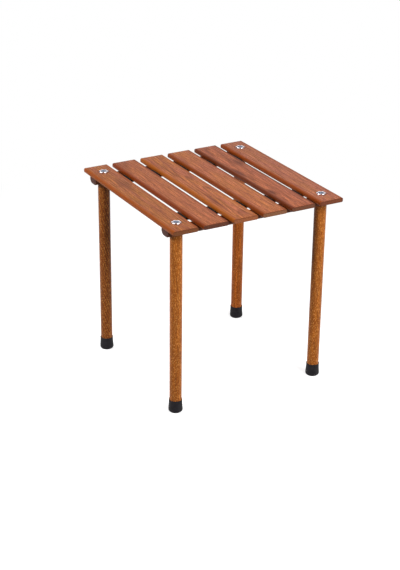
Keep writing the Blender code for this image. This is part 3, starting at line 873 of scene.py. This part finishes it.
def make_corners():
    """The four corners' tee nuts, legs, hanger bolts and feet. Each leg has its own wood.

    A figure is the way the growth rings face and tilt, and the shares of chevrons and streaks.
    Tones are light, middle and dark.
    """
    golden = ("#E9A055", "#B96923", "#74350F")
    # The back left leg's set is darker than the others, as painted shade.
    shaded_umber = ("#DB954C", "#A65C1E", "#5E280B")
    russet = ("#E08A45", "#BE641F", "#7A350E")
    woods = [
        ((0.9, 0.20, 0.25, 0.26), golden),
        ((2.4, 0.16, 0.30, 0.20), golden),
        ((3.4, 0.34, 0.70, 0.16), shaded_umber),
        ((4.6, 0.10, 0.30, 0.32), russet),
    ]
    zinc = zinc_plated_steel("zinc_plated_steel", "#EAE6EC", 0.24, "#5E6472")
    steel = zinc_plated_steel("zinc_plated_thread", "#B9BEC6", 0.3)
    rubber = moulded_rubber("moulded_rubber")
    for (row, side), (figure, tones) in zip(CORNERS, woods):
        centre = middle_of(f"leg_{row}_{side}")
        wood = varnished_dowel(f"varnished_dowel_{row}_{side}", centre, figure, tones)
        make_tee_nut(row, side, zinc)
        make_leg(row, side, wood)
        make_bolt(row, side, steel)
        make_foot(row, side, rubber)


# Studio


def seen_directly(node):
    """One for what the camera sees, in gloss and through glass too, and zero for other light."""
    camera = node("ShaderNodeLightPath", out="Is Camera Ray")
    gloss = node("ShaderNodeLightPath", out="Is Glossy Ray")
    glass = node("ShaderNodeLightPath", out="Is Transmission Ray")
    either = node("ShaderNodeMath", {0: camera, 1: gloss}, operation="MAXIMUM")
    return node("ShaderNodeMath", {0: either, 1: glass}, operation="MAXIMUM")


def make_floor():
    """A wide floor, white to the camera and in gloss, that keeps the table's soft shadow.

    It bounces little light. From half a metre out its own glow takes over, so that it runs into
    the white backdrop.
    """
    size = FLOOR_HALF_SIZE
    corners = [(-size, -size, 0), (size, -size, 0), (size, size, 0), (-size, size, 0)]
    mesh = bpy.data.meshes.new("floor")
    mesh.from_pydata(corners, [], [(0, 1, 2, 3)])
    material, node = start_material("white_studio_floor")
    bounced = node("ShaderNodeBsdfDiffuse", {"Color": linear("#6A6A6A")})
    lit = node("ShaderNodeBsdfDiffuse", {"Color": linear("#F0F0F0")})
    glow = node("ShaderNodeEmission", {"Strength": 0.55})
    near = node("ShaderNodeAddShader", {0: lit, 1: glow})
    far = node("ShaderNodeEmission", {"Strength": 1.0})
    place = node("ShaderNodeTexCoord", out="Object")
    distance = node("ShaderNodeVectorMath", {0: place}, "Value", operation="LENGTH")
    far_share = node("ShaderNodeMapRange", {
        0: distance, 1: FLOOR_FADE[0], 2: FLOOR_FADE[1],
    }, interpolation_type="SMOOTHSTEP")
    white = node("ShaderNodeMixShader", {0: far_share, 1: near, 2: far})
    chosen = node("ShaderNodeMixShader", {0: seen_directly(node), 1: bounced, 2: white})
    node("ShaderNodeOutputMaterial", {"Surface": chosen})
    mesh.materials.append(material)
    new_object("floor", mesh)


def direction(azimuth, elevation):
    """The way from the table to a place round it. Azimuth 0 is in front, and 90 degrees is right."""
    level = math.cos(elevation)
    return Vector((math.sin(azimuth) * level, -math.cos(azimuth) * level, math.sin(elevation)))


def add_softbox(name, azimuth, elevation, distance, size, power):
    """A square soft light that faces the table, at angles in degrees."""
    light = bpy.data.lights.new(name, "AREA")
    light.shape = "SQUARE"
    light.size = size
    light.energy = power
    back = direction(math.radians(azimuth), math.radians(elevation))
    lamp = new_object(name, light)
    lamp.location = CAMERA_AIM + back * distance
    lamp.rotation_euler = back.to_track_quat("Z", "Y").to_euler()


def light_studio():
    """Soft lights from the left, from the right and from high behind, in a white room."""
    add_softbox("softbox_left", azimuth=-106, elevation=34, distance=2.2, size=0.9, power=36)
    add_softbox("softbox_right", azimuth=18, elevation=35, distance=2.2, size=1.0, power=44)
    add_softbox("softbox_behind", azimuth=155, elevation=64, distance=2.4, size=1.2, power=8)
    world = bpy.data.worlds.new("studio")
    bpy.context.scene.world = world
    world.use_nodes = True
    world.node_tree.nodes.clear()
    node = functools.partial(add_node, world.node_tree)
    ambient = node("ShaderNodeBackground", {"Color": WHITE, "Strength": AMBIENT_LEVEL})
    backdrop = node("ShaderNodeBackground", {"Color": WHITE, "Strength": 1.0})
    chosen = node("ShaderNodeMixShader", {0: seen_directly(node), 1: ambient, 2: backdrop})
    node("ShaderNodeOutputWorld", {"Surface": chosen})


def place_camera():
    """The photograph's camera: round the table, above it, a little rolled and off its aim."""
    back = direction(CAMERA_AZIMUTH, CAMERA_ELEVATION)
    level_right = Vector((math.cos(CAMERA_AZIMUTH), math.sin(CAMERA_AZIMUTH), 0))
    level_up = back.cross(level_right)
    right = level_right * math.cos(CAMERA_ROLL) + level_up * math.sin(CAMERA_ROLL)
    up = level_up * math.cos(CAMERA_ROLL) - level_right * math.sin(CAMERA_ROLL)
    place = CAMERA_AIM + back * CAMERA_DISTANCE - right * CAMERA_ASIDE - up * CAMERA_ABOVE
    turn = Matrix((right, up, back)).transposed().to_4x4()
    camera = new_object("camera", bpy.data.cameras.new("camera"))
    camera.matrix_world = Matrix.Translation(place) @ turn
    camera.data.sensor_width = SENSOR
    camera.data.lens = FOCAL_LENGTH_PX * SENSOR / IMAGE_HEIGHT
    bpy.context.scene.camera = camera


place_camera()
make_slats()
make_rails()
make_corners()
make_straps()
make_floor()
light_studio()
bpy.context.scene.view_settings.view_transform = "Standard"
